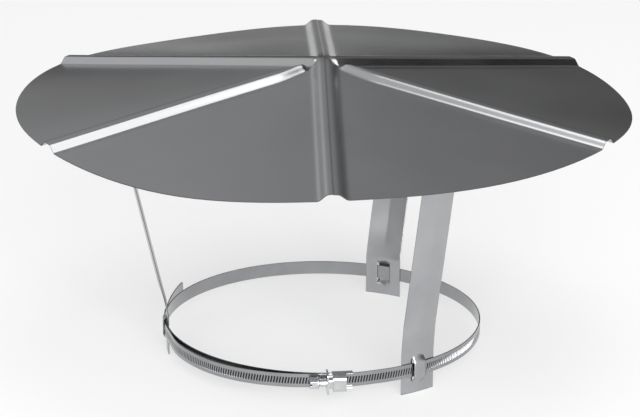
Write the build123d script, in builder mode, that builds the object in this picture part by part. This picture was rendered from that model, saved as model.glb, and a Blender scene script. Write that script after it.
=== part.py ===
from build123d import *
import os
from math import asin, atan, cos, degrees, radians, sin, sqrt, tan

# Chimney rain cap: a ribbed sheet-metal hood on three legs, held round a flue pipe by a worm-drive band.
# Millimetres. The origin is on the axis, level with the bottom of the legs, and +Z is up.
# Azimuths are in degrees, counter-clockwise seen from above, with one rib of the hood along -Y.

# Hood
hood_radius = 195.0  # plan radius of the hood's cut edge
hood_rise = 27.5  # the sheet's point above its edge
hood_sheet = 0.6
edge_height = 162.5  # top of the cut edge above the bottom of the legs
rib_count = 6
rib_base = 16.5  # width of a pressed rib where it leaves the sheet
rib_crown = 7.6  # width of its flat top
rib_height = 4.0
rib_round = 1.5  # rounding along the edges of its flat top
first_rib_azimuth = -90.0

# Legs
leg_names = ("leg_front", "leg_rear", "leg_left")
leg_reach = (125.0, 144.0, 134.5)  # plan radius of each leg's top: the legs are bent by hand
knee_step = (1.7, 5.3, 4.4)  # how far each leg has come outwards at its knee
first_leg_azimuth = -55.7
leg_width = 25.0
leg_sheet = 0.4
crease_depth = 1.0  # how far the crease stands out from the leg's edges
knee_height = 45.5  # here the crease begins and the leg leans out more
tab_length = 20.0  # the leg's top, bent outwards and spot-welded under the hood

# Bridge pressed out of each foot, which the band passes through
bridge_width = 9.0
bridge_ramp = 4.5  # height over which each end of the bridge slopes back to the foot
bridge_margin = 1.0  # height from the band's edge to the start of that slope
bridge_slack = 0.4  # room between the outer turn of the band and the bridge
bridge_round = 1.2  # rounding of its bends

# Worm-drive band
band_radius = 102.0  # inside of the band
band_width = 9.0
band_sheet = 0.7
band_middle = 15.5  # height of the band's middle above the bottom of the legs
turn_gap = 0.1  # between two turns of the band that lie on each other
foot_gap = 0.07  # between the band and each foot inside it, which lets the band slide round
tail_round = 1.5  # rounding of the corners of the band's free end

# Run of the band, in degrees clockwise from the middle of its housing
housing_azimuth = -86.0
fixed_end = -4.6
climb_start = -14.0  # after one turn the band climbs over its fixed end
climb_end = -5.5
bow_start = 4.0  # the free tail bows away from the turn under it
bow_near = 16.0
bow_middle = 40.0
bow_far = 64.0
bow_end = 78.5  # here it lies close again, and so passes the bridge of the leg on the left
flare_start = 101.5
flare_middle = 115.0
tail_end = 128.0

# How far the tail stands off at those places
bow_near_lift = 2.2
bow_middle_lift = 5.1
bow_far_lift = 2.9
flare_middle_lift = 2.9
tail_end_lift = 8.6
flare_turn = 13.5  # angle at which the free end points outwards

# Screw. Distances along it are measured from the middle of the housing towards the screw's head.
worm_radius = 3.6
worm_gap = 0.15  # between the worm and the band
neck_radius = 2.5
neck_gap = 0.15
collar_radius = 3.8
collar_length = 0.9
head_across_flats = 7.0
head_length = 4.8
head_start = 13.6
slot_width = 1.0
slot_depth = 1.4

# Housing of the screw and the saddle under it
cover_length = 8.3
cover_wall = 0.6
cover_round = 2.4
cover_room = 0.25  # between the worm and the cover
edge_gap = 0.15  # between the band's edges and the housing's sides
end_plate_start = 6.8
end_plate_thickness = 1.0
end_plate_lip = 1.35  # how far the end plate stands past the cover's sides
end_plate_round = 1.2
saddle_sheet = 0.4
ear_length = 4.3  # ears of the saddle beyond the cover, which hold the band's edges
ear_rise = 2.6  # how far they stand out past the band's outer turn

# Values worked out from the ones above
slope = atan(hood_rise / hood_radius)
hood_drop = hood_sheet / cos(slope)  # upright thickness of the sloping sheet
apex_height = edge_height + hood_rise
leg_pitch = 360.0 / len(leg_names)
outer_turn = band_radius + band_sheet + turn_gap
band_outside = outer_turn + band_sheet
band_low = band_middle - band_width / 2
foot_outer = band_radius - foot_gap
foot_inner = foot_outer - leg_sheet
foot_edge = sqrt(foot_outer ** 2 - (leg_width / 2) ** 2)  # distance of the foot's side edges from the axis
foot_half_angle = degrees(asin(leg_width / 2 / foot_outer))
bridge_inner = band_outside + bridge_slack
bridge_outer = bridge_inner + leg_sheet
bridge_half_angle = degrees(asin(bridge_width / 2 / bridge_outer))
bridge_half_height = band_width / 2 + bridge_margin + bridge_ramp
bridge_low = band_middle - bridge_half_height
bridge_high = band_middle + bridge_half_height
screw_distance = band_outside + worm_gap + worm_radius
saddle_outer = band_radius - foot_gap
saddle_inner = saddle_outer - saddle_sheet
cover_inside = max(band_width / 2, worm_radius) + edge_gap
cover_outside = cover_inside + cover_wall
cover_top = screw_distance + worm_radius + cover_room + cover_wall
cover_floor = saddle_inner + saddle_sheet / 4
shoulder_start = cover_length / 2 - cover_wall
sleeve_outside = neck_radius + neck_gap + cover_wall
worm_start = -cover_length / 2 + cover_wall
worm_stop = shoulder_start - neck_gap
end_plate_stop = end_plate_start + end_plate_thickness
ear_start = cover_length / 2 + edge_gap
ear_stop = ear_start + ear_length


def polar(radius, azimuth):
    return (radius * cos(radians(azimuth)), radius * sin(radians(azimuth)))


def underside(radius):
    # height of the hood's underside between its ribs
    return apex_height - hood_drop - radius * tan(slope)


def radial_plane(azimuth):
    # upright plane through the axis: x is the distance from the axis, y the height
    c, s = polar(1, azimuth)
    return Plane(origin=(0, 0, 0), x_dir=(c, s, 0), z_dir=(s, -c, 0))


def housing_plane(distance):
    # upright plane across the screw: x is the distance from the axis, y the height from the band's middle
    c, s = polar(1, housing_azimuth)
    return Plane(origin=(s * distance, -c * distance, band_middle), x_dir=(c, s, 0), z_dir=(s, -c, 0))


def save(piece, label):
    piece.part.label = label
    export_step(piece.part, "parts/" + label + ".step")
    print(label, len(piece.part.solids()), "solid", round(piece.part.volume, 1), "mm3")


def make_hood():
    # the outer shape as a solid block, then the same shape taken away a sheet's thickness lower
    block_floor = edge_height - 4 * rib_height
    root_depth = rib_height / 2
    root_half_width = rib_base / 2 + root_depth * (rib_base - rib_crown) / 2 / rib_height
    reach = hood_radius + rib_base
    with BuildPart() as block:
        with BuildSketch(Plane.XZ):
            Polygon(
                (0, block_floor),
                (reach, block_floor),
                (reach, apex_height - reach * tan(slope)),
                (0, apex_height),
                align=None,
            )
        revolve(axis=Axis.Z)
        for k in range(rib_count):
            c, s = polar(1, first_rib_azimuth + k * 360.0 / rib_count)
            down_slope = (c * cos(slope), s * cos(slope), -sin(slope))
            with BuildSketch(Plane(origin=(0, 0, apex_height), x_dir=(-s, c, 0), z_dir=down_slope)) as profile:
                Polygon(
                    (-root_half_width, -root_depth),
                    (root_half_width, -root_depth),
                    (rib_crown / 2, rib_height),
                    (-rib_crown / 2, rib_height),
                    align=None,
                )
                fillet(profile.vertices().group_by(Axis.Y)[-1], radius=rib_round)
            extrude(amount=reach / cos(slope))
        with BuildSketch(Plane.XY.offset(block_floor)):
            Circle(hood_radius)
        extrude(amount=apex_height + 2 * rib_height - block_floor, mode=Mode.INTERSECT)
    with BuildPart() as hood:
        add(block.part)
        add(block.part.moved(Location((0, 0, -hood_drop))), mode=Mode.SUBTRACT)
    return hood


def foot_section(azimuth, height, side):
    # section across one half of the curved foot
    with BuildSketch(Plane.XY.offset(height)) as section:
        with BuildLine():
            for radius in (foot_inner, foot_outer):
                CenterArc((0, 0), radius, azimuth, side * foot_half_angle)
            for angle in (azimuth, azimuth + side * foot_half_angle):
                Line(polar(foot_inner, angle), polar(foot_outer, angle))
        make_face()
    return section.sketch


def crease_section(azimuth, height, side, edge):
    # section across one half of the creased part, whose side edge is this far out
    c, s = polar(1, azimuth)
    with BuildSketch(Plane(origin=(0, 0, height), x_dir=(c, s, 0), z_dir=(0, 0, 1))) as section:
        Polygon(
            (edge + crease_depth - leg_sheet, 0),
            (edge + crease_depth, 0),
            (edge, side * leg_width / 2),
            (edge - leg_sheet, side * leg_width / 2),
            align=None,
        )
    return section.sketch


def make_leg(azimuth, reach, step):
    foot_top = bridge_high + bridge_margin
    crease_top = underside(reach + crease_depth) - leg_sheet / 4
    tab_half_angle = degrees(asin(leg_width / 2 / reach))
    tab_start = reach - 3 * leg_sheet
    tab_stop = reach + tab_length
    with BuildPart() as leg:
        # upright foot, curved to the pipe, at both sides of its bridge
        for start in (azimuth - foot_half_angle, azimuth + bridge_half_angle):
            with BuildSketch(radial_plane(start)):
                Polygon((foot_inner, 0), (foot_outer, 0), (foot_outer, foot_top), (foot_inner, foot_top), align=None)
            revolve(axis=Axis.Z, revolution_arc=foot_half_angle - bridge_half_angle)
        # middle of the foot, slit along both sides and pressed out into the bridge
        with BuildSketch(radial_plane(azimuth - bridge_half_angle)):
            with BuildLine():
                for foot, crown in ((foot_outer, bridge_outer), (foot_inner, bridge_inner)):
                    FilletPolyline(
                        (foot, 0),
                        (foot, bridge_low),
                        (crown, bridge_low + bridge_ramp),
                        (crown, bridge_high - bridge_ramp),
                        (foot, bridge_high),
                        (foot, foot_top),
                        radius=bridge_round,
                    )
                for height in (0, foot_top):
                    Line((foot_inner, height), (foot_outer, height))
            make_face()
        revolve(axis=Axis.Z, revolution_arc=2 * bridge_half_angle)
        # the part up to the knee and the creased part up to the hood, in two halves that meet at the crease
        for side in (-1, 1):
            sections = [
                foot_section(azimuth, foot_top, side),
                crease_section(azimuth, knee_height, side, foot_edge + step),
                crease_section(azimuth, crease_top, side, reach),
            ]
            loft(sections=sections, ruled=True)
        # tab that lies against the underside of the hood
        with BuildSketch(radial_plane(azimuth - tab_half_angle)):
            Polygon(
                (tab_start, underside(tab_start)),
                (tab_stop, underside(tab_stop)),
                (tab_stop, underside(tab_stop) - leg_sheet),
                (tab_start, underside(tab_start) - leg_sheet),
                align=None,
            )
        revolve(axis=Axis.Z, revolution_arc=2 * tab_half_angle)
    return leg


def along_band(angle):
    # direction in which the band runs
    c, s = polar(1, housing_azimuth - angle)
    return (s, -c)


def draw_band_face(skin):
    # one face of the band in plan: skin is 0 on its inner face and the sheet's thickness on its outer face
    inner = band_radius + skin
    outer = outer_turn + skin
    bow = ((bow_start, 0), (bow_near, bow_near_lift), (bow_middle, bow_middle_lift), (bow_far, bow_far_lift), (bow_end, 0))
    flare = ((flare_start, 0), (flare_middle, flare_middle_lift), (tail_end, tail_end_lift))
    with BuildLine() as face:
        CenterArc((0, 0), inner, housing_azimuth - fixed_end, fixed_end - climb_start - 360)
        Spline(
            [polar(inner, housing_azimuth - climb_start), polar(outer, housing_azimuth - climb_end)],
            tangents=[along_band(climb_start), along_band(climb_end)],
        )
        CenterArc((0, 0), outer, housing_azimuth - climb_end, climb_end - bow_start)
        Spline(
            [polar(outer + lift, housing_azimuth - angle) for angle, lift in bow],
            tangents=[along_band(bow_start), along_band(bow_end)],
        )
        CenterArc((0, 0), outer, housing_azimuth - bow_end, bow_end - flare_start)
        Spline(
            [polar(outer + lift, housing_azimuth - angle) for angle, lift in flare],
            tangents=[along_band(flare_start), along_band(tail_end - flare_turn)],
        )
    return face.line


def make_band():
    with BuildPart() as band:
        with BuildSketch(Plane.XY.offset(band_low)):
            with BuildLine():
                add(draw_band_face(0))
                add(draw_band_face(band_sheet))
                for radius, angle in ((band_radius, fixed_end), (outer_turn + tail_end_lift, tail_end)):
                    Line(polar(radius, housing_azimuth - angle), polar(radius + band_sheet, housing_azimuth - angle))
            make_face()
        extrude(amount=band_width)
        tail_tip = Vector(*polar(outer_turn + tail_end_lift, housing_azimuth - tail_end), band_middle)
        end_edges = band.edges().filter_by(lambda edge: abs(edge.length - band_sheet) < band_sheet / 20)
        fillet(end_edges.sort_by(lambda edge: (edge.center() - tail_tip).length)[:2], radius=tail_round)
    return band


def draw_arch(start, floor, top, half_height, corner):
    # outline across the housing, rounded at its two outer corners
    with BuildSketch(housing_plane(start)) as arch:
        Polygon((floor, -half_height), (top, -half_height), (top, half_height), (floor, half_height), align=None)
        fillet(arch.vertices().group_by(Axis.X)[-1], radius=corner)
    return arch.sketch


def make_housing():
    neck_passage = end_plate_stop - shoulder_start
    sleeve_round = sleeve_outside / 2
    with BuildPart() as housing:
        # cover over the worm, open at its far end
        extrude(draw_arch(-cover_length / 2, cover_floor, cover_top, cover_outside, cover_round), amount=cover_length)
        hollow = draw_arch(
            -cover_length / 2,
            cover_floor - cover_wall,
            cover_top - cover_wall,
            cover_inside,
            cover_round - cover_wall,
        )
        extrude(hollow, amount=cover_length - cover_wall, mode=Mode.SUBTRACT)
        # sleeve round the neck of the screw
        sleeve = draw_arch(
            cover_length / 2,
            screw_distance - sleeve_outside,
            screw_distance + sleeve_outside,
            sleeve_outside,
            sleeve_round,
        )
        extrude(sleeve, amount=end_plate_start - cover_length / 2)
        # end plate
        plate_top = cover_top + end_plate_lip / 4
        plate_side = cover_outside + end_plate_lip
        extrude(draw_arch(end_plate_start, cover_floor, plate_top, plate_side, end_plate_round), amount=end_plate_thickness)
        # passage for the band
        with BuildSketch(housing_plane(shoulder_start)):
            Polygon(
                (cover_floor - cover_wall, -cover_inside),
                (bridge_inner, -cover_inside),
                (bridge_inner, cover_inside),
                (cover_floor - cover_wall, cover_inside),
                align=None,
            )
        extrude(amount=neck_passage, mode=Mode.SUBTRACT)
        # bore for the neck
        with BuildSketch(housing_plane(shoulder_start)):
            with Locations((screw_distance, 0)):
                Circle(neck_radius + neck_gap)
        extrude(amount=neck_passage, mode=Mode.SUBTRACT)
    return housing


def make_saddle():
    # a strip curved to the pipe under the housing, with an ear at each side of the band beyond the cover
    saddle_start = housing_azimuth - degrees(asin((end_plate_start - edge_gap) / saddle_outer))
    ears_start = housing_azimuth + degrees(asin(ear_start / saddle_outer))
    ears_stop = housing_azimuth + degrees(asin(ear_stop / saddle_outer))
    low = band_middle - cover_inside
    high = band_middle + cover_inside
    ear_top = band_outside + ear_rise
    with BuildPart() as saddle:
        with BuildSketch(radial_plane(saddle_start)):
            Polygon((saddle_inner, low), (saddle_outer, low), (saddle_outer, high), (saddle_inner, high), align=None)
        revolve(axis=Axis.Z, revolution_arc=ears_stop - saddle_start)
        with BuildSketch(radial_plane(ears_start)):
            Polygon(
                (saddle_inner, low - cover_wall),
                (ear_top, low - cover_wall),
                (ear_top, low),
                (saddle_outer, low),
                (saddle_outer, high),
                (ear_top, high),
                (ear_top, high + cover_wall),
                (saddle_inner, high + cover_wall),
                align=None,
            )
        revolve(axis=Axis.Z, revolution_arc=ears_stop - ears_start)
    return saddle


def make_screw():
    with BuildPart() as screw:
        # worm
        with BuildSketch(housing_plane(worm_start)):
            with Locations((screw_distance, 0)):
                Circle(worm_radius)
        extrude(amount=worm_stop - worm_start)
        # neck
        with BuildSketch(housing_plane(worm_stop)):
            with Locations((screw_distance, 0)):
                Circle(neck_radius)
        extrude(amount=head_start - worm_stop)
        # collar under the head
        with BuildSketch(housing_plane(head_start - collar_length)):
            with Locations((screw_distance, 0)):
                Circle(collar_radius)
        extrude(amount=collar_length)
        # hexagon head with a slot
        with BuildSketch(housing_plane(head_start)):
            with Locations((screw_distance, 0)):
                RegularPolygon(radius=head_across_flats / 2, side_count=6, major_radius=False)
        extrude(amount=head_length)
        with BuildSketch(housing_plane(head_start + head_length - slot_depth)):
            with Locations((screw_distance, 0)):
                Rectangle(2 * head_across_flats, slot_width)
        extrude(amount=slot_depth, mode=Mode.SUBTRACT)
    return screw


os.makedirs("parts", exist_ok=True)

hood = make_hood()
save(hood, "cap")

for k in range(len(leg_names)):
    leg = make_leg(first_leg_azimuth + k * leg_pitch, leg_reach[k], knee_step[k])
    save(leg, leg_names[k])

worm_band = make_band()
save(worm_band, "worm_band")

worm_housing = make_housing()
save(worm_housing, "worm_housing")

worm_saddle = make_saddle()
save(worm_saddle, "worm_saddle")

worm_screw = make_screw()
save(worm_screw, "worm_screw")
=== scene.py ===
from math import asin, atan2, cos, degrees, hypot, pi, radians, sin, sqrt, tan

import bmesh
import bpy
from mathutils import Matrix, Vector, noise


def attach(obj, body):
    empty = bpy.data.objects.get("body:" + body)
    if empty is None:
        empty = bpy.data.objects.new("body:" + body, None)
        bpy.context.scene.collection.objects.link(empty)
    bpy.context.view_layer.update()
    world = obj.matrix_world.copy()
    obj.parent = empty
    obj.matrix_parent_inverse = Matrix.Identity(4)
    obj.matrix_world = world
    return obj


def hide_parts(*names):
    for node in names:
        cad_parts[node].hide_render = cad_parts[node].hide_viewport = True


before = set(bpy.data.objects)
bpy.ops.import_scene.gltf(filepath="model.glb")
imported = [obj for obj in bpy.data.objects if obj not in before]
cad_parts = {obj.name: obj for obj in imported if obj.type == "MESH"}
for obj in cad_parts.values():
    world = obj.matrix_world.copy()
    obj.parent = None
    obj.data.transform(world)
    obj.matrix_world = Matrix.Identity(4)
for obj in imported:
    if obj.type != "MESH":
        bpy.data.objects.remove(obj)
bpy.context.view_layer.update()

# Chimney rain cap. Lengths of its pieces are in millimetres in the frame of the CAD model, and are turned
# into metres where a mesh is made. Azimuths are counter-clockwise seen from above.

scene = bpy.context.scene


def ease(value, start, end):
    # 0 before start, 1 after end, smooth between
    t = min(max((value - start) / (end - start), 0.0), 1.0)
    return t * t * (3 - 2 * t)


def around(azimuth):
    # unit vectors outwards and sideways at an azimuth
    a = radians(azimuth)
    return Vector((cos(a), sin(a), 0)), Vector((-sin(a), cos(a), 0))


def cornerInset(remaining, radius):
    # how far a rounded corner draws in the edge of a strip, this far from the strip's end
    if remaining >= radius:
        return 0.0
    return radius - sqrt(radius ** 2 - (radius - remaining) ** 2)


def linearColour(hexText):
    # sRGB hex to the linear values that the shaders take
    channels = [int(hexText[i:i + 2], 16) / 255 for i in (1, 3, 5)]
    return [c / 12.92 if c <= 0.04045 else ((c + 0.055) / 1.055) ** 2.4 for c in channels] + [1.0]


def addPiece(name, points, faces, uvs=None):
    mesh = bpy.data.meshes.new(name)
    mesh.from_pydata([Vector(p) / 1000 for p in points], [], faces)
    if uvs:
        layer = mesh.uv_layers.new(name="length")
        for loop in mesh.loops:
            layer.data[loop.index].uv = [value / 1000 for value in uvs[loop.vertex_index]]
    mesh.shade_smooth()
    obj = bpy.data.objects.new(name, mesh)
    scene.collection.objects.link(obj)
    return obj


def gridFaces(rows, columns, closed=False):
    # faces of a grid whose points are listed row by row
    faces = []
    for i in range(rows - 1):
        for j in range(columns if closed else columns - 1):
            k = (j + 1) % columns
            faces.append((i * columns + j, i * columns + k, (i + 1) * columns + k, (i + 1) * columns + j))
    return faces


def turnOutwards(obj):
    # makes every face of a closed piece point outwards
    mesh = bmesh.new()
    mesh.from_mesh(obj.data)
    bmesh.ops.recalc_face_normals(mesh, faces=mesh.faces)
    mesh.to_mesh(obj.data)
    mesh.free()


def thicken(obj, sheet, edge=0.0):
    # gives a surface its sheet thickness on its inner side, and can take the sharpness off the cut edges
    solid = obj.modifiers.new("sheet", "SOLIDIFY")
    solid.thickness = sheet / 1000
    solid.offset = -1
    solid.use_even_offset = True
    solid.material_offset_rim = 1
    if not edge:
        return
    bevel = obj.modifiers.new("cut edge", "BEVEL")
    bevel.width = edge / 1000
    bevel.segments = 2
    bevel.limit_method = "ANGLE"
    bevel.angle_limit = radians(60)
    bevel.harden_normals = True


def addNode(tree, kind, values=None, stops=(), **settings):
    # a node with its settings, its links or values by socket, and a colour ramp's (position, grey) stops
    node = tree.nodes.new(kind)
    for name, value in settings.items():
        setattr(node, name, value)
    for name, value in (values or {}).items():
        if isinstance(value, bpy.types.NodeSocket):
            tree.links.new(value, node.inputs[name])
        else:
            node.inputs[name].default_value = value
    if stops:
        elements = node.color_ramp.elements
        while len(elements) < len(stops):
            elements.new(0.5)
        for element, (position, grey) in zip(elements, stops):
            element.position = position
            element.color = (grey, grey, grey, 1)
    return node


# Materials. The real streaks are about 0.1 mm wide, too fine for the picture, so they are drawn 0.5 to
# 1.1 mm wide. "grain" is streaks per metre along each coordinate, "roughness" runs from the clean to the
# handled patches, "scratchShare" is a scratch's height against a streak's, and sizes are in millimetres.

# few short scratches, slanted against the streaks: turn in radians, number per metre along each coordinate
scratches = {
    "turn": 0.5, "grain": (70, 900, 900), "stops": ((0.0, 0.0), (0.68, 0.0), (0.74, 1.0), (1.0, 1.0)),
}
patchRange = (0.3, 0.7)  # values of the cloudy noise between which the roughness changes

# satin cold-rolled stainless sheet: even, soft grey sheen with faint straight streaks
hoodLook = {
    "dark": "#AEAFB1", "light": "#BBBCBE", "roughness": (0.17, 0.22), "cloudSize": 80.0,
    "grain": (40, 1150, 1150), "grainBlur": 0.05, "grainHeight": 0.02, "grainStrength": 0.25,
    "scratchShare": -0.04, "edgeRound": 0.0,
}
# bright-annealed strip of the legs: a soft sheen, a little duller than the hood's, with streaks along it
stripLook = {
    "dark": "#A0A1A4", "light": "#B6B7B9", "roughness": (0.24, 0.32), "cloudSize": 30.0,
    "grain": (45, 1300, 1300), "grainBlur": 0.05, "grainHeight": 0.015, "grainStrength": 0.35,
    "scratchShare": -0.3, "edgeRound": 0.0,
}
# rolled band with pressed thread: nearly polished, streaks along its length, painted shade darkening the
# thread pockets
bandLook = {
    "dark": "#929395", "light": "#A8A9AB", "roughness": (0.15, 0.22), "cloudSize": 22.0,
    "grain": (60, 1900, 1900), "grainBlur": 0.05, "grainHeight": 0.01, "grainStrength": 0.35,
    "scratchShare": -0.3, "edgeRound": 0.0, "pocketShadeColour": "#3A3B3D",
}
# stamped stainless of the screw's housing and saddle: bright, with edges rounded by the press
stampedLook = {
    "dark": "#C2C3C5", "light": "#D2D3D4", "roughness": (0.14, 0.22), "cloudSize": 5.0,
    "grain": (300, 1400, 1400), "grainBlur": 0.05, "grainHeight": 0.01, "grainStrength": 0.3,
    "scratchShare": -0.3, "edgeRound": 0.25,
}
# zinc-plated steel of the screw: a slightly milky bright plating without a direction
screwLook = {
    "dark": "#BFC1C4", "light": "#D2D4D6", "roughness": (0.18, 0.27), "cloudSize": 3.0,
    "grain": (900, 900, 900), "grainBlur": 0.06, "grainHeight": 0.015, "grainStrength": 0.3,
    "scratchShare": -0.3, "edgeRound": 0.12,
}
# sheared edge of sheet and strip: torn by the blades, so duller than the faces; its dark colour is painted
# shade that draws a dark line along every cut edge
edgeLook = {
    "dark": "#4C4D50", "light": "#646568", "roughness": (0.38, 0.5), "cloudSize": 6.0,
    "grain": (900, 900, 900), "grainBlur": 0.1, "grainHeight": 0.03, "grainStrength": 0.5,
    "scratchShare": -0.3, "edgeRound": 0.0,
}


def rolledSteel(name, look, coordinates):
    # steel with the marks of rolling: long fine streaks along the first coordinate, cloudy patches where
    # the sheet was handled, and a few short scratches. Coordinates are in metres.
    material = bpy.data.materials.new(name)
    material.use_nodes = True
    tree = material.node_tree
    tree.nodes.clear()
    source = addNode(tree, "ShaderNodeTexCoord").outputs[coordinates]
    streak = addNode(tree, "ShaderNodeMapping", {"Vector": source, "Scale": look["grain"]})
    fine = addNode(tree, "ShaderNodeTexNoise", {
        "Vector": streak.outputs["Vector"], "Scale": 1.0, "Detail": 3.0, "Roughness": 0.65})
    cloud = addNode(tree, "ShaderNodeTexNoise", {
        "Vector": source, "Scale": 1000 / look["cloudSize"], "Detail": 2.0})
    slanted = addNode(tree, "ShaderNodeMapping", {
        "Vector": source, "Rotation": (0, 0, scratches["turn"]), "Scale": scratches["grain"]})
    scratch = addNode(tree, "ShaderNodeTexNoise", {
        "Vector": slanted.outputs["Vector"], "Scale": 1.0, "Detail": 1.0})
    marks = addNode(tree, "ShaderNodeValToRGB", {"Fac": scratch.outputs["Fac"]}, stops=scratches["stops"])
    # sockets 6 and 7 of a Mix node are its two colours
    tint = addNode(tree, "ShaderNodeMix", {
        "Factor": cloud.outputs["Fac"], 6: linearColour(look["dark"]), 7: linearColour(look["light"])},
        data_type="RGBA")
    colour = tint.outputs["Result"]
    # painted shade: the thread pockets are coloured darker by their depth, in place of the shadow in the
    # hollows
    if "pocketShadeColour" in look:
        pressed = addNode(tree, "ShaderNodeAttribute", attribute_name="pressed")
        shadedPockets = addNode(tree, "ShaderNodeMix", {
            "Factor": pressed.outputs["Fac"], 6: colour, 7: linearColour(look["pocketShadeColour"])},
            data_type="RGBA")
        colour = shadedPockets.outputs["Result"]
    blur = addNode(tree, "ShaderNodeMapRange", {
        "Value": cloud.outputs["Fac"], "From Min": patchRange[0], "From Max": patchRange[1],
        "To Min": look["roughness"][0], "To Max": look["roughness"][1]})
    grained = addNode(tree, "ShaderNodeMath", {
        0: fine.outputs["Fac"], 1: look["grainBlur"]}, operation="MULTIPLY")
    rough = addNode(tree, "ShaderNodeMath", {
        0: blur.outputs["Result"], 1: grained.outputs["Value"]}, operation="ADD")
    heights = addNode(tree, "ShaderNodeMath", {
        0: marks.outputs["Color"], 1: look["scratchShare"], 2: fine.outputs["Fac"]},
        operation="MULTIPLY_ADD")
    bump = addNode(tree, "ShaderNodeBump", {
        "Height": heights.outputs["Value"], "Distance": look["grainHeight"] / 1000,
        "Strength": look["grainStrength"]})
    normal = bump.outputs["Normal"]
    if look["edgeRound"]:
        rounded = addNode(tree, "ShaderNodeBevel", {
            "Radius": look["edgeRound"] / 1000, "Normal": normal}, samples=4)
        normal = rounded.outputs["Normal"]
    shader = addNode(tree, "ShaderNodeBsdfPrincipled", {
        "Base Color": colour, "Metallic": 1.0, "Roughness": rough.outputs["Value"], "Normal": normal})
    addNode(tree, "ShaderNodeOutputMaterial", {"Surface": shader.outputs["BSDF"]})
    return material


satinSheet = rolledSteel("satin stainless sheet", hoodLook, "UV")
brightStrip = rolledSteel("bright stainless strip", stripLook, "UV")
brightBand = rolledSteel("bright rolled band", bandLook, "UV")
stampedSteel = rolledSteel("stamped stainless", stampedLook, "Object")
shearedEdge = rolledSteel("sheared edge", edgeLook, "Object")
platedSteel = rolledSteel("zinc-bright steel", screwLook, "Object")
print("materials done")


# Hood: one round sheet, a shallow cone with six pressed ribs. The rib along Y was pressed last and runs
# straight across the middle. The side ribs in front end in points beside it, and those behind run into
# the middle at their full height.
hood = {
    "radius": 195.0,
    "apex": 190.0,
    "rise": 27.5,
    "pointRound": 6.0,  # how far out the point of the cone is rounded off
    "sheet": 0.6,
    "cutEdge": 0.12,  # width of the chamfer that takes the sharpness off the rim
    "sideRibs": (-150, -30, 30, 150),  # azimuths, the first two in front
    "ribHeight": 4.0,
    "ribCrown": 3.8,  # half width of a rib's flat top
    "ribSide": 4.45,  # width of each sloping side
    "ribSoftness": 1.15,  # rounding of its bends
    "ribPoint": (12.0, 40.0),  # distance from the middle where a front side rib's top starts and is full
    "ribStart": (9.0, 17.0),  # distance over which a front side rib rises out of the sheet
    "rearStart": (1.0, 5.0),  # both of these for the rear side ribs
    "crownFall": 0.04,  # slope of each half of the front and rear rib's top, away from its middle
    "creaseDepth": 0.3,  # fine step that the tool left along the middle of that top
    "creaseHalf": 0.4,  # half width of the step
    "canning": 0.22,  # depth of the soft uneven patches of a thin sheet
    "canningSize": 75.0,
    "canningPlace": 40.0,  # which part of the noise they come from
    # waves of the edge that the photograph shows, as (times round, cosine, sine) in millimetres
    "waves": ((2, 0.439, -0.891), (3, -1.832, -0.508), (6, -0.917, -0.241)),
    "waveTurn": 1.65,
    "waveGrowth": 1.5,  # power of the radius with which they grow towards the rim
}
hoodSlope = hood["rise"] / hood["radius"]


def ribShape(across, crown, side):
    # height of a rib, its bends softened as the mean of five shifted copies
    shifts = (-1.0, -0.5, 0.0, 0.5, 1.0)
    total = 0.0
    for shift in shifts:
        distance = abs(across + shift * hood["ribSoftness"])
        total += min(max((crown + side - distance) / side, 0.0), 1.0)
    return hood["ribHeight"] * total / len(shifts)


def sheetHeight(x, y):
    # top of the hood between the ribs
    radius = hypot(x, y)
    azimuth = atan2(y, x) + radians(hood["waveTurn"])
    cone = hood["apex"] - hoodSlope * sqrt(radius * radius + hood["pointRound"] ** 2)
    wave = sum(c * cos(n * azimuth) + s * sin(n * azimuth) for n, c, s in hood["waves"])
    canning = noise.noise(Vector((x, y, hood["canningPlace"])) / hood["canningSize"])
    return cone + wave * (radius / hood["radius"]) ** hood["waveGrowth"] + hood["canning"] * canning


def hoodHeight(x, y):
    # top of the hood with its ribs
    rise = ribShape(x, hood["ribCrown"], hood["ribSide"])
    fall = hood["crownFall"] * min(abs(x), hood["ribCrown"])
    fall += hood["creaseDepth"] * ease(x, -hood["creaseHalf"], hood["creaseHalf"])
    rise *= 1 - fall / hood["ribHeight"]
    for azimuth in hood["sideRibs"]:
        out, aside = around(azimuth)
        along = x * out.x + y * out.y
        if along > 0:
            start = ease(along, *hood["ribStart" if azimuth < 0 else "rearStart"])
            crown = hood["ribCrown"] * ease(along, *hood["ribPoint" if azimuth < 0 else "rearStart"])
            side = hood["ribSide"] * max(start, 0.05)  # never zero, because ribShape divides by it
            rise = max(rise, ribShape(x * aside.x + y * aside.y, crown, side) * start)
    return sheetHeight(x, y) + rise


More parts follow.
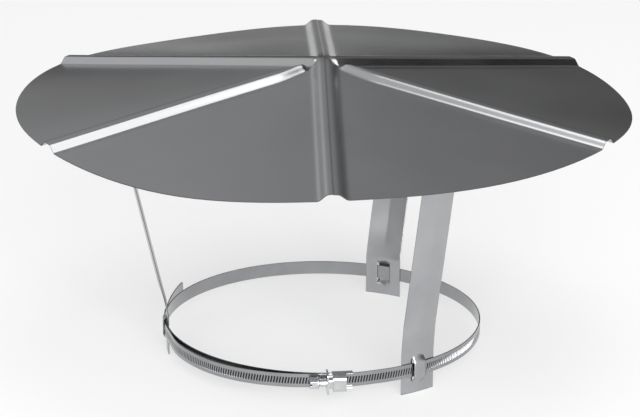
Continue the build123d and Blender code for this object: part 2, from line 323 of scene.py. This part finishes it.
def makeHood():
    # columns that follow each rib, by distance from its middle, and how many more to the next sector's
    offsets = (0.0, 0.4, 0.9, 1.9, 3.0, 3.8, 4.6, 5.6, 6.8, 7.6, 8.25, 9.2, 10.5)
    steps = 9
    narrowest = 24.0  # within this radius the columns close up towards the middle
    # rings of the mesh: sixteen fine ones round the middle, wider ones to near the rim, and a narrow last one
    fineStep, fineRings, ringStep, nearRim, rimStep = 1.5, 16, 2.6, 3.0, 1.2
    radii = [fineStep * i for i in range(1, fineRings + 1)]
    while radii[-1] < hood["radius"] - nearRim:
        radii.append(radii[-1] + ringStep)
    radii[-1] = hood["radius"] - rimStep
    radii.append(hood["radius"])
    points = []
    for radius in radii:
        half = [asin(offset / max(radius, narrowest)) for offset in offsets]
        half += [half[-1] + (pi / 6 - half[-1]) * k / steps for k in range(1, steps + 1)]
        for rib in range(6):
            middle = -pi / 2 + rib * pi / 3
            for turn in [middle - h for h in reversed(half[1:-1])] + [middle + h for h in half]:
                x, y = radius * cos(turn), radius * sin(turn)
                points.append((x, y, hoodHeight(x, y)))
    columns = len(points) // len(radii)
    faces = [tuple(reversed(face)) for face in gridFaces(len(radii), columns, closed=True)]
    middlePoint = len(points)
    points.append((0.0, 0.0, hoodHeight(0, 0)))
    faces += [(middlePoint, j, (j + 1) % columns) for j in range(columns)]
    obj = addPiece("hood_sheet", points, faces, [(p[0], p[1]) for p in points])
    obj.data.materials.append(satinSheet)
    obj.data.materials.append(shearedEdge)
    thicken(obj, hood["sheet"], hood["cutEdge"])
    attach(obj, "hood_and_legs")
    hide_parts("cap")
    print("hood:", len(faces), "faces before its thickness")


makeHood()


# Legs: three strips, each with a foot curved to the pipe, a bridge pressed out of the foot for the band,
# a sharp crease from the knee up, and a tab bent outwards and spot-welded under the hood.
legs = {
    "names": ("leg_front", "leg_rear", "leg_left"),
    "azimuths": (-55.7, 64.3, 184.3),
    "reach": (125.0, 144.0, 134.5),  # how far from the axis each leg meets the hood
    "kneeStep": (1.7, 5.3, 4.4),  # how far each knee lies outside its foot
    "footRadius": 101.93,
    "halfWidth": 12.5,
    "sheet": 0.4,
    "footTop": 26.5,
    "knee": 45.5,
    "bendRounds": (12.0, 10.0, 1.4),  # at the foot's top, at the knee and at the hood
    "footFlat": 44.5,  # height at which the foot's curve to the pipe has gone
    "creaseDepth": 1.6,
    "creaseRound": 0.5,
    "creaseRise": (30.5, 46.5),  # heights between which the crease comes up
    "creaseFade": (0.8, 0.6),  # distances before and after the bend at the hood over which it goes
    "tabLength": 20.0,
    "tabCorner": 3.0,
    "tabGap": 0.07,  # between the tab and the hood's underside
    "bridgeHalf": 4.5,
    "bridgeOut": 2.37,
    "bridgeEnds": (5.5, 25.5),
    "bridgeRamp": 4.6,
    "bridgeLobe": 1.8,  # how much later the ramps start at the bridge's cut sides
    "lobeLeft": 0.6,  # share of that by which they end later too
    "bridgeLeast": 0.04,  # a smaller rise counts as none, which closes the slits
    "bridgeColumns": (0.5, 1.2, 2.2, 3.4),  # columns of the mesh from the middle to the slits
    "sideColumns": (5.6, 7, 9, 11, 12.2),  # and from there to the edges
    "fineBelow": 30.0,  # height under which the mesh is fine
    "meshSteps": (0.9, 3.2),  # length of its faces there and above
}


def bentPath(corners, rounds):
    # points along a bent line in (distance, height), each with the direction of its outer side
    leastBend = 0.02  # radians
    bendStep = 5  # degrees of a bend to each face
    fine, coarse = legs["meshSteps"]
    path = []
    last = Vector(corners[0])
    for k in range(1, len(corners)):
        corner = Vector(corners[k])
        inwards = (corner - Vector(corners[k - 1])).normalized()
        if k < len(corners) - 1:
            outwards = (Vector(corners[k + 1]) - corner).normalized()
            turn = inwards.angle_signed(outwards)
            turn = turn if abs(turn) > leastBend else 0.0
            cut = rounds[k - 1] * tan(abs(turn) / 2)
        else:
            turn, cut = 0.0, 0.0
        stop = corner - inwards * cut
        count = max(2, int((stop - last).length / (fine if last.y < legs["fineBelow"] else coarse)))
        for i in range(count):
            path.append((last.lerp(stop, i / count), Vector((inwards.y, -inwards.x))))
        last = stop
        if turn:
            bends = max(3, int(degrees(abs(turn)) / bendStep))
            side = -1 if turn > 0 else 1  # angle_signed is positive clockwise
            centre = stop + Vector((inwards.y, -inwards.x)) * rounds[k - 1] * -side
            for i in range(bends):
                swing = Matrix.Rotation(-turn * i / bends, 2)
                path.append((centre + swing @ (stop - centre), swing @ Vector((inwards.y, -inwards.x))))
            last = corner + outwards * cut
    path.append((last, path[-1][1].copy()))
    return path


def bridgePress(across, height):
    # how far the bridge is pressed out of the foot
    low, high = legs["bridgeEnds"]
    lobe = legs["bridgeLobe"] * (across / legs["bridgeHalf"]) ** 2
    rise = ease(height, low + lobe, low + legs["bridgeRamp"] + legs["lobeLeft"] * lobe)
    fall = ease(-height, -high + lobe, -high + legs["bridgeRamp"] + legs["lobeLeft"] * lobe)
    press = legs["bridgeOut"] * min(rise, fall)
    return press if press > legs["bridgeLeast"] else 0.0


def makeLeg(name, azimuth, reach, kneeStep):
    out, aside = around(azimuth)
    half, cut = legs["halfWidth"], legs["bridgeHalf"]
    foot = sqrt(legs["footRadius"] ** 2 - half ** 2)
    gap = hood["sheet"] + legs["sheet"] + legs["tabGap"]

    def hoodUnder(distance):
        p = out * distance
        return sheetHeight(p.x, p.y) - gap

    top = reach + legs["tabLength"]
    corners = [(foot, 0), (foot, legs["footTop"]), (foot + kneeStep, legs["knee"]),
               (reach, hoodUnder(reach)), (top, hoodUnder(top))]
    path = bentPath(corners, legs["bendRounds"])
    fold = sqrt(half * half + legs["creaseRound"] ** 2) - legs["creaseRound"]
    # three strips side by side, the middle one with the bridge
    inner = [0, *legs["bridgeColumns"], cut]
    outer = [cut, *legs["sideColumns"], half]
    strips = ([-v for v in reversed(outer)], [-v for v in reversed(inner[1:])] + inner, outer)
    points, faces, uvs = [], [], []
    for strip in strips:
        start = len(points)
        length = 0.0
        for k, (p, normal) in enumerate(path):
            length += (p - path[k - 1][0]).length if k else 0.0
            narrow = 1 - cornerInset((path[-1][0] - p).length, legs["tabCorner"]) / half
            curved = 1 - ease(p.y, legs["footTop"], legs["footFlat"])
            before, after = legs["creaseFade"]
            creased = ease(p.y, *legs["creaseRise"]) * (1 - ease(p.x, reach - before, reach + after))
            for v in strip:
                across = v * narrow
                offset = curved * (sqrt(legs["footRadius"] ** 2 - across * across) - foot)
                bend = sqrt(across * across + legs["creaseRound"] ** 2) - legs["creaseRound"]
                offset += creased * legs["creaseDepth"] * (1 - bend / fold)
                if strip is strips[1] and p.y < legs["knee"]:
                    offset += bridgePress(v, p.y)
                q = p + normal * offset
                place = out * q.x + aside * across
                height = q.y
                if p.x > reach:
                    height = min(height, sheetHeight(place.x, place.y) - gap)
                points.append((place.x, place.y, height))
                uvs.append((length, across))
        faces += [tuple(start + i for i in face) for face in gridFaces(len(path), len(strip))]
    # the three strips are joined where the sheet isn't slit
    keys, renamed = {}, []
    for k, p in enumerate(points):
        key = tuple(round(value, 2) for value in p)
        renamed.append(keys.setdefault(key, k))
    used = sorted(set(renamed))
    order = {old: new for new, old in enumerate(used)}
    points = [points[k] for k in used]
    uvs = [uvs[k] for k in used]
    faces = [tuple(order[renamed[i]] for i in face) for face in faces]
    obj = addPiece(name + "_strip", points, faces, uvs)
    obj.data.materials.append(brightStrip)
    obj.data.materials.append(shearedEdge)
    thicken(obj, legs["sheet"])
    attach(obj, "hood_and_legs")
    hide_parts(name)
    print(name + ":", len(faces), "faces before its thickness")


for name, azimuth, reach, kneeStep in zip(legs["names"], legs["azimuths"], legs["reach"], legs["kneeStep"]):
    makeLeg(name, azimuth, reach, kneeStep)


# Worm-drive band: one strip, a turn and a third long, with slanted thread pockets pressed into its outer
# face. Angles run clockwise in degrees from the middle of the screw's housing.
band = {
    "housing": -86.0,  # azimuth
    "radius": 102.0,
    "sheet": 0.7,
    "halfWidth": 4.5,
    "middle": 15.5,
    "start": -4.6,
    "turnEnd": 346.0,
    "climbEnd": 354.5,
    "outer": 0.8,  # how far the second turn lies outside the first
    "bow": ((364.0, 0.0), (376.0, 2.2), (400.0, 5.1), (424.0, 2.9), (438.5, 0.0)),
    "flare": ((461.5, 0.0), (475.0, 2.9), (488.0, 8.6)),
    "flareSlope": 0.47,  # millimetres per degree at the free end
    "pitch": 1.8,  # from one thread pocket to the next
    "firstPocket": 2.0,  # from the fixed end
    "pocketRun": (0.72, 0.92, 1.55, 1.75),  # in each pitch, where a pocket's two end walls start and stop
    "pocketHalf": 2.15,
    "pocketWall": 0.3,  # width of its upper and lower wall
    "pocketDepth": 0.36,
    "plainEnd": 5.0,  # length of the free end without pockets
    "slant": 11.0,
    "slantRise": (0.5, 4.5),  # lengths between which the slant comes up from the square fixed end
    "slantFade": (5.0, 1.6),  # and between which it goes again before the free end
    "edgeRound": 0.13,
    "tailRound": 1.5,
    "sharpFrom": 28.0,  # bends of more degrees are shaded as edges
}


def through(stops, value, endSlope):
    # smooth curve through (angle, lift) pairs that starts level
    slopes = [0.0]
    for k in range(1, len(stops) - 1):
        slopes.append((stops[k + 1][1] - stops[k - 1][1]) / (stops[k + 1][0] - stops[k - 1][0]))
    slopes.append(endSlope)
    for k in range(len(stops) - 1):
        (a, liftA), (b, liftB) = stops[k], stops[k + 1]
        if value <= b or k == len(stops) - 2:
            step = b - a
            t = (value - a) / step
            return ((1 + 2 * t) * (1 - t) ** 2 * liftA + t * (1 - t) ** 2 * step * slopes[k]
                    + t * t * (3 - 2 * t) * liftB + t * t * (t - 1) * step * slopes[k + 1])


def bandLift(angle):
    # how far the band's inner face lies outside its first turn
    lift = band["outer"] * ease(angle, band["turnEnd"], band["climbEnd"])
    if band["bow"][0][0] < angle < band["bow"][-1][0]:
        lift += through(band["bow"], angle, 0.0)
    if angle > band["flare"][0][0]:
        lift += through(band["flare"], angle, band["flareSlope"])
    return lift


def makeBand():
    # the inner face's line in plan, finely divided, with the length run so far
    fineStep = 0.05  # degrees
    wholeAngle = band["flare"][-1][0] - band["start"]
    count = int(wholeAngle / fineStep)
    line, lengths = [], [0.0]
    for k in range(count + 1):
        angle = band["start"] + wholeAngle * k / count
        turn = radians(band["housing"] - angle)
        radius = band["radius"] + bandLift(angle)
        line.append(Vector((radius * cos(turn), radius * sin(turn))))
        if k:
            lengths.append(lengths[-1] + (line[-1] - line[-2]).length)
    total = lengths[-1]

    def place(length, skin):
        # point of the plan at a length along the line and a distance outside it
        low, high = 0, count
        while high - low > 1:
            middle = (low + high) // 2
            if lengths[middle] <= length:
                low = middle
            else:
                high = middle
        share = (length - lengths[low]) / (lengths[high] - lengths[low])
        run = (line[high] - line[low]).normalized()
        p = line[low].lerp(line[high], share)
        return p.x - run.y * skin, p.y + run.x * skin

    edge, half, sheet = band["edgeRound"], band["halfWidth"], band["sheet"]
    pocket, wall = band["pocketHalf"], band["pocketWall"]
    # loop round the strip: distance from its inner face, height, share of the pocket's depth
    section = [(sheet, -half + edge, 0), (sheet, -pocket, 0), (sheet, -pocket + wall, 1),
               (sheet, pocket - wall, 1), (sheet, pocket, 0), (sheet, half - edge, 0), (sheet - edge, half, 0),
               (edge, half, 0), (0, half - edge, 0), (0, -half + edge, 0), (edge, -half, 0),
               (sheet - edge, -half, 0)]
    # columns along it: length, share of the pocket's depth
    columns = [(0.5 * k, 0) for k in range(4)]
    pockets = int((total - band["plainEnd"]) / band["pitch"])
    for k in range(pockets):
        begin = band["firstPocket"] + k * band["pitch"]
        columns.append((begin, 0))
        columns += [(begin + run, deep) for run, deep in zip(band["pocketRun"], (0, 1, 1, 0))]
    last = columns[-1][0]
    columns += [(last + (total - last) * t, 0) for t in (0.35, 0.6, 0.78, 0.88, 0.94, 0.98, 1.0)]
    slant = tan(radians(band["slant"]))
    fadeStart, fadeEnd = band["slantFade"]
    points, uvs, depths = [], [], []
    for length, deep in columns:
        slanted = 1 - ease(length, total - fadeStart, total - fadeEnd)
        shear = slant * ease(length, *band["slantRise"]) * slanted
        narrow = 1.0 - cornerInset(total - length, band["tailRound"]) / half
        for skin, height, share in section:
            run = min(max(length - shear * height, 0.0), total)
            x, y = place(run, skin - band["pocketDepth"] * share * deep)
            points.append((x, y, band["middle"] + height * narrow))
            uvs.append((run, height))
            depths.append(share * deep)
    loop = len(section)
    faces = gridFaces(len(columns), loop, closed=True)
    faces.append(tuple(reversed(range(loop))))
    faces.append(tuple(range((len(columns) - 1) * loop, len(columns) * loop)))
    obj = addPiece("band_with_thread", points, faces, uvs)
    turnOutwards(obj)
    # depth share of the thread pockets, which the band's material paints darker as shade
    pressed = obj.data.attributes.new("pressed", "FLOAT", "POINT")
    for k, depth in enumerate(depths):
        pressed.data[k].value = depth
    obj.data.set_sharp_from_angle(angle=radians(band["sharpFrom"]))
    obj.data.materials.append(brightBand)
    obj.data.materials.append(shearedEdge)
    for face in obj.data.polygons:  # the slit edges of the strip face up and down
        if abs(face.normal.z) > 0.9:
            face.material_index = 1
    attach(obj, "clamp")
    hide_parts("worm_band")
    print("band:", len(faces), "faces,", pockets, "thread pockets, length", round(total, 1), "mm")


makeBand()


# Worm screw: worm, neck, collar and hexagon head turned from one piece. Distances run from the middle of
# the housing towards the head.
screw = {
    "middle": (7.48136, -106.98875, 15.5),
    "axis": (-0.99756405, -0.06975647, 0.0),
    "wormRun": (-3.55, 3.4),
    "wormSteps": 48,
    "wormTaper": 0.8,  # length over which the thread comes up at each end
    "threadWalls": (0.25, 0.75),  # shares of its wave between which its walls rise
    "wormRadius": 3.6,
    "wormRoot": 2.75,
    "pitch": 1.8,
    "neckRadius": 2.5,
    "neckFillet": 0.7,  # from the neck to the collar
    "collarRadius": 3.8,
    "collarRun": (12.7, 13.6),
    "collarEdge": 0.15,  # chamfer of its two edges
    "headFlats": 3.5,  # half the width across flats
    "headEnd": 18.4,
    "chamfer": 0.55,  # depth of the chamfer of the head's end
    "chamferRun": 1.5,  # its length as a multiple of that
    # radii as shares of headFlats: of the chamfer at the end, how much it grows, and of the corners
    "chamferStart": 0.96,
    "chamferGrowth": 0.2,
    "cornerRadius": 1.13,
    "slotWidth": 1.0,
    "slotDepth": 1.4,
    "slotReach": 1.6,  # half length of the box that cuts it, as a multiple of headFlats
    "capRadius": 0.4,  # of the small flat that closes each end of the mesh
    "sharpFrom": 32.0,  # bends of more degrees are shaded as edges
}


def makeScrew():
    middle, axis, up = Vector(screw["middle"]), Vector(screw["axis"]), Vector((0, 0, 1))
    outside = axis.cross(up)
    if outside.dot(middle) < 0:
        outside = -outside
    begin, end = screw["wormRun"]
    collarStart, collarEnd = screw["collarRun"]
    headEnd, flats, chamfer = screw["headEnd"], screw["headFlats"], screw["chamfer"]
    fillet, edge, taperRun = screw["neckFillet"], screw["collarEdge"], screw["wormTaper"]
    # stations of the mesh along the axis, as (distance, kind), close together where the shape bends
    stations = [(begin, "end")]
    steps = screw["wormSteps"]
    stations += [(begin + (end - begin) * k / steps, "worm") for k in range(steps + 1)]
    stations += [(distance, "neck") for distance in (end, end + 0.3, 6.0, 9.5, collarStart - fillet)]
    stations += [(collarStart - fillet + fillet * sin(k * pi / 8), "fillet") for k in range(1, 5)]
    stations += [(collarStart, "collar"), (collarStart + edge, "collarFull"), (collarEnd - edge, "collarFull"),
                 (collarEnd, "collar"), (collarEnd, "hex"), (collarEnd + 0.2, "hex")]
    stations += [(collarEnd + (headEnd - collarEnd) * t, "hex") for t in (0.3, 0.6)]
    stations += [(headEnd - chamfer * t, "hex") for t in (1.4, 1.0, 0.7, 0.4, 0.15, 0.0)]
    stations.append((headEnd, "end"))
    turns = 72
    points = []
    for distance, kind in stations:
        for j in range(turns):
            phi = 2 * pi * j / turns
            if kind == "end":
                radius = screw["capRadius"]
            elif kind == "worm":
                wave = 0.5 + 0.5 * cos(2 * pi * distance / screw["pitch"] - phi)
                taper = min(ease(distance, begin, begin + taperRun), 1 - ease(distance, end - taperRun, end))
                height = screw["wormRadius"] - screw["wormRoot"]
                radius = screw["wormRoot"] + height * ease(wave, *screw["threadWalls"]) * taper
            elif kind == "neck":
                radius = screw["neckRadius"]
            elif kind == "fillet":
                lean = (distance - (collarStart - fillet)) / fillet
                radius = screw["neckRadius"] + fillet * (1 - sqrt(max(0.0, 1 - lean * lean)))
            elif kind == "collar":
                radius = screw["collarRadius"] - edge
            elif kind == "collarFull":
                radius = screw["collarRadius"]
            else:
                flat = (phi + pi / 6) % (pi / 3) - pi / 6
                rim = flats * screw["chamferStart"] + (flats * screw["chamferGrowth"]) * ease(
                    headEnd - distance, 0.0, chamfer * screw["chamferRun"])
                radius = min(flats / cos(flat), rim, flats * screw["cornerRadius"])
            p = middle + axis * distance + outside * (radius * cos(phi)) + up * (radius * sin(phi))
            points.append(tuple(p))
    faces = gridFaces(len(stations), turns, closed=True)
    faces.append(tuple(reversed(range(turns))))
    faces.append(tuple(range((len(stations) - 1) * turns, len(stations) * turns)))
    obj = addPiece("worm_screw_detail", points, faces)
    # slot for a screwdriver, cut by a box that reaches past the head on both sides
    half = Vector((screw["slotDepth"], flats * screw["slotReach"], screw["slotWidth"] / 2))
    corners = []
    for i in (-1, 1):
        for j in (-1, 1):
            for k in (-1, 1):
                corners.append(tuple(middle + axis * (headEnd + i * half.x) + outside * (j * half.y)
                                     + up * (k * half.z)))
    cutter = addPiece("slot_cutter", corners, [(0, 1, 3, 2), (4, 6, 7, 5), (0, 4, 5, 1), (2, 3, 7, 6),
                                               (0, 2, 6, 4), (1, 5, 7, 3)])
    slot = obj.modifiers.new("slot", "BOOLEAN")
    slot.operation = "DIFFERENCE"
    slot.solver = "EXACT"
    slot.object = cutter
    cutMesh = bpy.data.meshes.new_from_object(obj.evaluated_get(bpy.context.evaluated_depsgraph_get()))
    obj.modifiers.clear()
    obj.data = cutMesh
    bpy.data.objects.remove(cutter)
    turnOutwards(obj)
    obj.data.set_sharp_from_angle(angle=radians(screw["sharpFrom"]))
    obj.data.materials.clear()
    obj.data.materials.append(platedSteel)
    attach(obj, "screw")
    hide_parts("worm_screw")
    print("screw:", len(obj.data.polygons), "faces")


makeScrew()

# the housing and the saddle keep their CAD shape and get the stamped steel
for nodeName in ("worm_housing", "worm_saddle"):
    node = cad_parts[nodeName]
    for slot in node.material_slots:
        slot.material = stampedSteel
print("housing and saddle done")


# Floor, light and camera, in metres
studio = {
    "floorRings": (0.5, 2.0, 7.0),
    "floor": "#FAFAFA",
    "plainWhite": 0.55,  # share of the floor that shows as plain white, the rest shows light and shadow
    # brightness of the surroundings behind the object, by half of one more than the direction's z:
    # 0 is straight down, 0.5 the horizon and 1 straight up
    "rear": ((0.0, 0.2), (0.5, 0.2), (0.56, 0.13), (0.6, 0.37), (0.7, 0.67), (0.8, 0.86),
             (0.9, 0.74), (1.0, 0.7)),
    # share of that brightness from left to right, by half of one more than the direction's x
    "sideways": ((0.3, 1.0), (0.42, 0.56), (0.5, 0.41), (0.565, 0.35), (0.65, 0.3), (1.0, 0.3)),
    "darkPanel": 0.97,  # how much of it a dark panel takes away high up on the right
    "panelX": (0.13, 0.38),  # the panel's soft edges, by the direction's x
    "panelZ": (0.45, 0.7),  # and by its z
    "front": 0.75,  # brightness of the surroundings on the side of the camera
    "frontY": (0.15, -0.45),  # how they take over from those behind, by the direction's y
    "lamps": {
        # small and close above the right of the hood, for a highlight on its ribs
        "key": {"place": (0.21, -0.055, 0.67), "size": 0.14, "power": 0.08},
        # large and soft from the side of the camera
        "fill": {"place": (0.3, -2.8, 0.8), "size": 2.4, "power": 125.0},
        # large and soft from above, for the shadow under the hood
        "top": {"place": (0.42, 0.2, 2.6), "size": 2.0, "power": 18.0},
    },
}


def addFloor():
    turns = 96
    rings = studio["floorRings"]
    points = [(0.0, 0.0, 0.0)]
    for radius in rings:
        for j in range(turns):
            a = 2 * pi * j / turns
            points.append((radius * 1000 * cos(a), radius * 1000 * sin(a), 0.0))
    faces = [(0, 1 + j, 1 + (j + 1) % turns) for j in range(turns)]
    for ring in range(len(rings) - 1):
        start = 1 + ring * turns
        for j in range(turns):
            k = (j + 1) % turns
            faces.append((start + j, start + turns + j, start + turns + k, start + k))
    floor = addPiece("paper_floor", points, faces)
    # matt paper: no sheen, only light and shadow
    material = bpy.data.materials.new("matt white paper")
    material.use_nodes = True
    tree = material.node_tree
    tree.nodes.clear()
    shader = addNode(tree, "ShaderNodeBsdfPrincipled", {
        "Base Color": linearColour(studio["floor"]), "Roughness": 0.9})
    # part of the floor is plain white to the eye and to the metal's reflections, without giving light
    ray = addNode(tree, "ShaderNodeLightPath")
    seen = ray.outputs["Is Camera Ray"]
    for kind in ("Is Glossy Ray", "Is Transmission Ray"):
        either = addNode(tree, "ShaderNodeMath", {0: seen, 1: ray.outputs[kind]}, operation="MAXIMUM")
        seen = either.outputs["Value"]
    share = addNode(tree, "ShaderNodeMath", {0: seen, 1: studio["plainWhite"]}, operation="MULTIPLY")
    white = addNode(tree, "ShaderNodeEmission", {"Color": linearColour("#FFFFFF"), "Strength": 1.0})
    both = addNode(tree, "ShaderNodeMixShader", {
        0: share.outputs["Value"], 1: shader.outputs["BSDF"], 2: white.outputs["Emission"]})
    addNode(tree, "ShaderNodeOutputMaterial", {"Surface": both.outputs["Shader"]})
    floor.data.materials.append(material)


def addSurroundings():
    world = bpy.data.worlds.new("studio")
    world.use_nodes = True
    scene.world = world
    tree = world.node_tree
    tree.nodes.clear()
    direction = addNode(tree, "ShaderNodeTexCoord").outputs["Generated"]
    parts = addNode(tree, "ShaderNodeSeparateXYZ", {"Vector": direction}).outputs
    upwards = addNode(tree, "ShaderNodeMapRange", {"Value": parts["Z"], "From Min": -1.0, "From Max": 1.0})
    grey = addNode(tree, "ShaderNodeValToRGB", {"Fac": upwards.outputs["Result"]}, stops=studio["rear"])
    across = addNode(tree, "ShaderNodeMapRange", {"Value": parts["X"], "From Min": -1.0, "From Max": 1.0})
    fade = addNode(tree, "ShaderNodeValToRGB", {"Fac": across.outputs["Result"]}, stops=studio["sideways"])
    behind = addNode(tree, "ShaderNodeMix", {
        "Factor": 1.0, 6: grey.outputs["Color"], 7: fade.outputs["Color"]},
        data_type="RGBA", blend_type="MULTIPLY")
    # the dark panel
    panelX = addNode(tree, "ShaderNodeMapRange", {
        "Value": parts["X"], "From Min": studio["panelX"][0], "From Max": studio["panelX"][1]},
        interpolation_type="SMOOTHSTEP")
    panelZ = addNode(tree, "ShaderNodeMapRange", {
        "Value": parts["Z"], "From Min": studio["panelZ"][0], "From Max": studio["panelZ"][1],
        "To Max": studio["darkPanel"]}, interpolation_type="SMOOTHSTEP")
    panel = addNode(tree, "ShaderNodeMath", {
        0: panelX.outputs["Result"], 1: panelZ.outputs["Result"]}, operation="MULTIPLY")
    behind = addNode(tree, "ShaderNodeMix", {
        "Factor": panel.outputs["Value"], 6: behind.outputs["Result"], 7: linearColour("#000000")},
        data_type="RGBA")
    # the side of the camera
    toFront = addNode(tree, "ShaderNodeMapRange", {
        "Value": parts["Y"], "From Min": studio["frontY"][0], "From Max": studio["frontY"][1]},
        interpolation_type="SMOOTHSTEP")
    both = addNode(tree, "ShaderNodeMix", {
        "Factor": toFront.outputs["Result"], 6: behind.outputs["Result"], 7: [studio["front"]] * 3 + [1.0]},
        data_type="RGBA")
    light = addNode(tree, "ShaderNodeBackground", {"Color": both.outputs["Result"], "Strength": 1.0})
    addNode(tree, "ShaderNodeOutputWorld", {"Surface": light.outputs["Background"]})


def addLamp(name, lamp):
    # round area lamp that points at the middle of the object
    data = bpy.data.lights.new(name, "AREA")
    data.shape = "DISK"
    data.size = lamp["size"]
    data.energy = lamp["power"]
    obj = bpy.data.objects.new(name, data)
    place = Vector(lamp["place"])
    obj.location = place
    obj.rotation_euler = (Vector((0, 0, 0.1)) - place).to_track_quat("-Z", "Y").to_euler()
    scene.collection.objects.link(obj)


# found by fitting the outline of the hood, the ring and the legs in the photograph: metres and degrees
view = {"place": (-0.047726, -1.656813, 0.6487), "look": 88.425, "down": 18.548, "roll": 0.383, "lens": 152.69}


def addCamera():
    look, down, roll = radians(view["look"]), radians(view["down"]), radians(view["roll"])
    forward = Vector((cos(look) * cos(down), sin(look) * cos(down), -sin(down)))
    level = Vector((sin(look), -cos(look), 0))
    upright = level.cross(forward)
    right = level * cos(roll) + upright * sin(roll)
    up = upright * cos(roll) - level * sin(roll)
    data = bpy.data.cameras.new("photo")
    data.lens = view["lens"]
    data.sensor_width = 36
    data.clip_start = 0.05
    data.clip_end = 60
    obj = bpy.data.objects.new("photo", data)
    obj.matrix_world = Matrix((
        (right.x, up.x, -forward.x, view["place"][0]),
        (right.y, up.y, -forward.y, view["place"][1]),
        (right.z, up.z, -forward.z, view["place"][2]),
        (0, 0, 0, 1)))
    scene.collection.objects.link(obj)
    scene.camera = obj


addFloor()
addSurroundings()
for name, lamp in studio["lamps"].items():
    addLamp(name, lamp)
addCamera()
scene.view_settings.view_transform = "Standard"
print("studio done")
